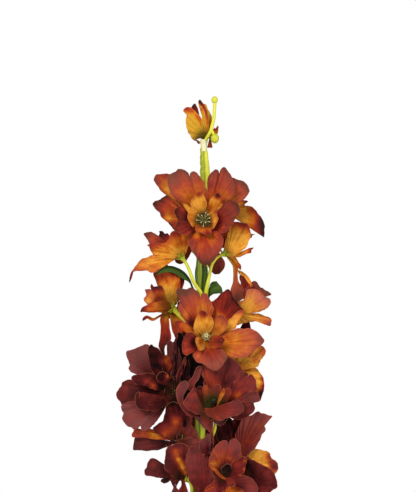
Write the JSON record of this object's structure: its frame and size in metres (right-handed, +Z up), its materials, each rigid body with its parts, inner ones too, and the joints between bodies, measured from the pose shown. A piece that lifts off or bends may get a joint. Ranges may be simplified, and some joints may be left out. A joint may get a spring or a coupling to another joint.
{
  "type": "delphinium in vase",
  "caption": "Artificial delphinium spray with layered golden, orange and burgundy petals on a green stem, standing in a plain bottle vase of water.",
  "frame": {"origin": "centre of the vase's flat foot, on the surface that it stands on", "axes": "+Z up along the spray, -Y towards the spray's front as the picture shows it, +X to its right"},
  "size_m": [0.1214, 0.1148, 0.6815],
  "materials": {
    "petal_gold": "matt woven",
    "petal_orange": "matt woven",
    "petal_burgundy": "matt woven",
    "stamens": "matt",
    "leaf": "matt woven",
    "stem": "satin",
    "vase": "satin glaze",
    "water": "clear"
  },
  "bodies": {
    "root": {"bloom_crown": "petal_orange", "bloom_front_base": "petal_burgundy", "bloom_front_last": "petal_burgundy", "bloom_front_low": "petal_burgundy", "bloom_front_middle": "petal_orange", "bloom_left_base": "petal_burgundy", "bloom_left_dark": "petal_burgundy", "bloom_left_last": "petal_burgundy", "bloom_left_low": "petal_burgundy", "bloom_left_middle": "petal_orange", "bloom_left_upper": "petal_gold", "bloom_rear_base": "petal_burgundy", "bloom_rear_low": "petal_burgundy", "bloom_rear_middle": "petal_orange", "bloom_rear_upper": "petal_orange", "bloom_right_base": "petal_burgundy", "bloom_right_gold": "petal_gold", "bloom_right_last": "petal_burgundy", "bloom_right_low": "petal_burgundy", "bloom_right_middle": "petal_gold", "bloom_right_upper": "petal_gold", "bloom_shoulder": "petal_orange", "bloom_tip": "petal_gold", "leaf_arched": "leaf", "leaf_bract_left": "leaf", "leaf_bract_right": "leaf", "leaf_low_left": "leaf", "leaf_low_rear": "leaf", "leaf_low_right": "leaf", "leaf_round": "leaf", "stamens_crown": "stamens", "stamens_front_base": "stamens", "stamens_front_last": "stamens", "stamens_front_low": "stamens", "stamens_front_middle": "stamens", "stamens_rear_base": "stamens", "stamens_rear_low": "stamens", "stamens_rear_middle": "stamens", "stamens_rear_upper": "stamens", "stem": "stem", "vase": "vase", "water": "water"}
  },
  "joints": []
}
